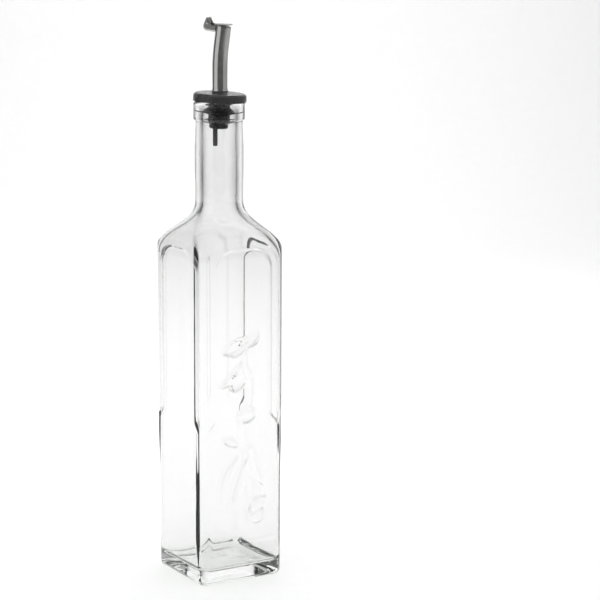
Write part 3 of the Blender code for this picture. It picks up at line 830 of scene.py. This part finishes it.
# %% Tip frame
PIN_P, PIN_Q = -9.4, 1.0
LID_LIFT = math.radians(5.2)
BRACKET_REAR, BRACKET_FRONT, BRACKET_LEVEL = -11.65, -5.0, -3.75
BRACKET_HALF, BRACKET_BEND, HEEL_BEND = 2.9, 0.9, 2.1
EAR_MIDDLE, EAR_TOP, LEDGE = -9.85, 4.0, -0.3
LID_HALF, LID_HALF_WIDTH, LID_CORNER = 4.9, 6.2, 2.4
LID_MIDDLE, LID_LEVEL, LID_HALF_THICK, LID_EDGE = 8.9, -0.88, 0.3, 0.12


def tip_place(p, q, w):
    """Points in the tip's frame become points in the bottle's frame, in metres."""
    centre, along = tube_line(np.array([MOUTH_Z]))
    forward = np.cross(SIDEWAYS, along[0])
    return (centre[0] + p[..., None] * forward + q[..., None] * along[0]
            - w[..., None] * SIDEWAYS) * MM


# %% Bracket


def ear_top(p):
    """Upper edge of an ear over p: a slim rounded finger that falls to a low ledge."""
    rear = -1.1 + (p + 11.85) * 3.55
    tip = EAR_TOP - 0.55 * (p - EAR_MIDDLE) ** 2
    front = LEDGE + np.maximum(-7.2 - p, 0) * 1.9
    finger = np.minimum(rear, tip)
    return np.where(p > EAR_MIDDLE, np.maximum(np.minimum(finger, front), LEDGE), finger)


def bracket_points():
    """A folded sheet. One direction runs from the heel to the tube, the other across the U:
    down one ear, round a bend, over the web, round a bend and up the other ear."""
    v = np.linspace(0, 1, 34)[:, None]
    u = np.linspace(-1, 1, 49)[None, :]
    p = BRACKET_REAR + (BRACKET_FRONT - BRACKET_REAR) * v + 0 * u
    into_heel = np.clip(BRACKET_REAR + HEEL_BEND - p, 0, HEEL_BEND)
    heel = HEEL_BEND - np.sqrt(np.maximum(HEEL_BEND**2 - into_heel**2, 0))
    floor = BRACKET_LEVEL + heel
    top = np.maximum(ear_top(p), floor + BRACKET_BEND + 0.2)
    web = BRACKET_HALF - BRACKET_BEND
    curve = BRACKET_BEND * math.pi / 2
    rise = top - floor - BRACKET_BEND
    run = np.abs(u) * (web + curve + rise)
    on_web = np.minimum(run, web)
    turn = np.clip(run - web, 0, curve) / BRACKET_BEND
    climb = np.maximum(run - web - curve, 0)
    w = np.sign(u) * (on_web + BRACKET_BEND * np.sin(turn))
    q = floor + BRACKET_BEND * (1 - np.cos(turn)) + climb
    reach = -np.sqrt(np.maximum((TUBE_RADIUS + 0.26) ** 2 - w**2, 0)) - p[-1]
    return tip_place(p + reach * v**2, q, w)


def open_sheet(name, points):
    """A mesh over an open grid, with a UV map in both directions."""
    rows, columns = points.shape[:2]
    index = np.arange(rows * columns).reshape(rows, columns)
    quads = np.stack([index[:-1, :-1], index[:-1, 1:], index[1:, 1:], index[1:, :-1]], axis=-1)
    mesh = bpy.data.meshes.new(name)
    mesh.from_pydata(points.reshape(-1, 3).tolist(), [], quads.reshape(-1, 4).tolist())
    layer = mesh.uv_layers.new(name="UVMap")
    corner = quads.reshape(-1)
    uv = np.stack([corner % columns / (columns - 1), corner // columns / (rows - 1)], axis=-1)
    layer.data.foreach_set("uv", uv.reshape(-1))
    mesh.shade_smooth()
    return mesh


def add_sheet(name, mesh, thickness, body, node, finish):
    """A sheet piece with real thickness and softened edges from live modifiers."""
    piece = bpy.data.objects.new(name, mesh)
    bpy.context.scene.collection.objects.link(piece)
    mesh.materials.append(finish)
    solid = piece.modifiers.new("thickness", "SOLIDIFY")
    solid.thickness = thickness
    solid.offset = 0.0
    soft = piece.modifiers.new("edges", "BEVEL")
    soft.width = thickness * 0.22
    soft.segments = 2
    soft.limit_method = "ANGLE"
    soft.angle_limit = math.radians(50)
    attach(piece, body)
    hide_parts(node)
    print(f"{name}: {len(mesh.polygons)} faces before its modifiers")


add_sheet(
    "bracket_fold", open_sheet("bracket_fold", bracket_points()), 0.0007, "bottle",
    "hinge_bracket", drawn_steel("bracket_steel", (0.6, 0.6, 0.59), 0.2, 0.36, (30, 8, 1)),
)

# %% Pin


def pin_points():
    """A turned pin along w with a domed head outside each ear."""
    head = np.array([(0.35, 4.1), (0.75, 4.02), (1.0, 3.86), (1.1, 3.6), (0.95, 3.5), (0.5, 3.5)])
    path = np.concatenate([head, np.array([(0.5, 1.0), (0.5, -1.0)]), head[::-1] * [1, -1]])
    turn = np.linspace(0, 2 * np.pi, 32, endpoint=False)[None, :]
    radius, w = path[:, 0, None], path[:, 1, None]
    return tip_place(PIN_P + radius * np.cos(turn), PIN_Q + radius * np.sin(turn), w + 0 * turn)


add_piece(
    "pin_rod", grid_mesh("pin_rod", pin_points(), caps=(True, True)),
    "bottle", "hinge_pin", drawn_steel("pin_steel", (0.55, 0.55, 0.54), 0.22, 0.36, (12, 40, 1)),
)

# %% [markdown]
# The lid is one pressed plate with a tab that is rolled round the pin. Seen from above the plate
# is a rounded square. Its points come from a disc that is stretched over the outline, so rings
# of points run from the middle to the edge and round it to the underside.

# %% Lid


def lid_place(x, y, w):
    """Points on the lid, measured from the pin's axis and turned up by the lid's lift."""
    c, s = math.cos(LID_LIFT), math.sin(LID_LIFT)
    return tip_place(PIN_P + x * c - y * s, PIN_Q + x * s + y * c, w)


def lid_outline(turn, grow):
    """Distance from the plate's middle to its edge at an angle: a round-cornered square."""
    return rounded_square(np.full_like(turn, LID_HALF + grow), LID_CORNER, turn)


def lid_points():
    """Rings over the plate: out over the top, round the edge, back in below. The edge is nearly
    square, and the top is dished by a tenth of a millimetre towards its middle."""
    turn = np.linspace(0, 2 * np.pi, 96, endpoint=False)
    out = np.array([0.15, 0.4, 0.65, 0.85, 0.95])
    edge = np.radians(np.linspace(90, -90, 7))
    flat = np.ones(len(out))
    share = np.concatenate([out, np.ones(len(edge)), out[::-1]])
    square = np.sign(edge) * np.abs(np.sin(edge)) ** 0.5
    level = LID_HALF_THICK * np.concatenate([flat, square, -flat])
    grow = -LID_EDGE * np.concatenate([flat, 1 - np.cos(edge) ** 0.5, flat])
    reach = np.stack([lid_outline(turn, extra) for extra in grow]) * share[:, None]
    x = LID_MIDDLE + reach * np.cos(turn)
    w = reach * np.sin(turn) * LID_HALF_WIDTH / LID_HALF
    dish = 0.1 * (1 - share[:, None] ** 2)
    y = LID_LEVEL + level[:, None] - dish + 0 * x
    return lid_place(x, y, w)


def tab_points():
    """The tab: its side outline goes round the pin and forward under the plate, and is run
    across from one side to the other with rounded edges."""
    roll = np.radians(np.linspace(20, 252, 18))
    outer = np.stack([1.3 * np.cos(roll), 1.3 * np.sin(roll)], axis=-1)
    nose = np.array([
        (0.5, -1.22), (2.5, -1.2), (5.2, -1.18), (5.2, -0.62), (2.5, -0.6), (1.3, -0.4),
    ])
    outline = np.concatenate([outer, nose])
    widths = np.array([-1.9, -1.85, -1.7, 1.7, 1.85, 1.9])
    inset = np.array([0.86, 0.95, 1.0, 1.0, 0.95, 0.86])
    middle = np.array([0.0, -0.3])
    flat = middle + (outline - middle)[None] * inset[:, None, None]
    x, y, w = flat[..., 0], flat[..., 1], widths[:, None] + 0 * flat[..., 0]
    return lid_place(x, y, w)


# The lid's steel has a far darker tone than the tube's, 0.3 against 0.72, as painted shade, so
# that the lid's top reads as a dark line.
lid_steel = drawn_steel("lid_steel", (0.3, 0.3, 0.29), 0.2, 0.34, (8, 90, 1))
add_piece(
    "lid_plate", grid_mesh("lid_plate", lid_points(), caps=(True, True)),
    "lid", "flap", lid_steel,
)
add_piece(
    "lid_tab", grid_mesh("lid_tab", tab_points(), caps=(True, True)),
    "lid", "flap", lid_steel,
)

# %% [markdown]
# ## Table and light
#
# Glass shows itself by what stands round it. The bottle stands on a pale sweep that two lamps
# behind it make bright, so the glass stays light, while the room at the sides is dark, which
# draws the thin dark lines along its edges. Two tall soft lamps at the sides put stripes on the
# steel. The lamp overhead lights the table and is kept out of mirrored and refracted views, so
# that it leaves no white patch on the shoulder.

# %% Pale sweep
SWEEP_FRONT, SWEEP_BACK, SWEEP_TOP, SWEEP_HALF = -1.6, 1.7, 1.9, 2.4
SWEEP_BEND = 0.5


def sweep_points():
    """A floor that curves up into a wall: a straight line, a quarter circle, a straight line."""
    turn = np.radians(np.linspace(-90, 0, 25))
    depth = np.concatenate([
        [SWEEP_FRONT, 0.0], SWEEP_BACK - SWEEP_BEND + SWEEP_BEND * np.cos(turn), [SWEEP_BACK],
    ])
    rise = np.concatenate([[0, 0], SWEEP_BEND + SWEEP_BEND * np.sin(turn), [SWEEP_TOP]])
    across = np.linspace(-SWEEP_HALF, SWEEP_HALF, 9)
    back = np.array([-math.sin(STAND_AZIMUTH), math.cos(STAND_AZIMUTH), 0])
    side = np.array([back[1], -back[0], 0])
    return (depth[:, None, None] * back + rise[:, None, None] * UP
            + across[None, :, None] * side)


def pale_paper():
    """Matt pale paper with a faint fibre."""
    made = Finish("pale_paper", (0.82, 0.82, 0.82), 0.9)
    fibre = made.noise(made.coordinates("Object", (1, 1, 1)), 90.0, detail=5.0)
    made.link(made.blend(fibre, (0.81, 0.81, 0.81), (0.84, 0.84, 0.84)), "Base Color")
    return made.material


sweep = bpy.data.objects.new("sweep", open_sheet("sweep", sweep_points()))
bpy.context.scene.collection.objects.link(sweep)
sweep.data.materials.append(pale_paper())
sweep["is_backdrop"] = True

# %% Lamps and room


def soft_lamp(name, azimuth, distance, height, width, tall, power, aim):
    """An area lamp at an azimuth seen from the camera's side, aimed at a point."""
    data = bpy.data.lights.new(name, "AREA")
    data.shape = "RECTANGLE"
    data.size = width
    data.size_y = tall
    data.energy = power
    lamp = bpy.data.objects.new(name, data)
    bpy.context.scene.collection.objects.link(lamp)
    turn = STAND_AZIMUTH + math.radians(azimuth)
    place = Vector((distance * math.sin(turn), -distance * math.cos(turn), height))
    lamp.matrix_world = Matrix.Translation(place) @ (Vector(aim) - place).to_track_quat(
        "-Z", "Y").to_matrix().to_4x4()
    return lamp


soft_lamp("back_lamp", 180, 0.8, 0.72, 0.6, 1.1, 1.75, (0.49, 0.87, 0.1))
soft_lamp("wall_lamp", 180, 0.9, 1.2, 1.8, 0.4, 8.5, (0.85, 1.52, 0.25))
top_lamp = soft_lamp("top_lamp", 180, 0.0, 1.3, 1.5, 1.2, 20.8, (0.02, 0.03, 0))
top_lamp.visible_glossy = False
top_lamp.visible_transmission = False
soft_lamp("left_lamp", -66, 1.2, 0.7, 1.5, 1.4, 3.6, (0, 0, 0.3))
soft_lamp("right_lamp", 85, 1.2, 0.7, 1.9, 1.4, 2.5, (0, 0, 0.3))

world = bpy.data.worlds.new("room")
world.use_nodes = True
world.node_tree.nodes["Background"].inputs["Color"].default_value = (0.1, 0.1, 0.1, 1)
bpy.context.scene.world = world
bpy.context.scene.view_settings.view_transform = "Standard"

boxes = {"cad": [list(corner) for corner in cad_box],
         "visual": [list(corner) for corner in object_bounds()]}
rounded = [[round(value / MM, 1) for value in corner] for corner in boxes["visual"]]
print("visual box in mm:", rounded)
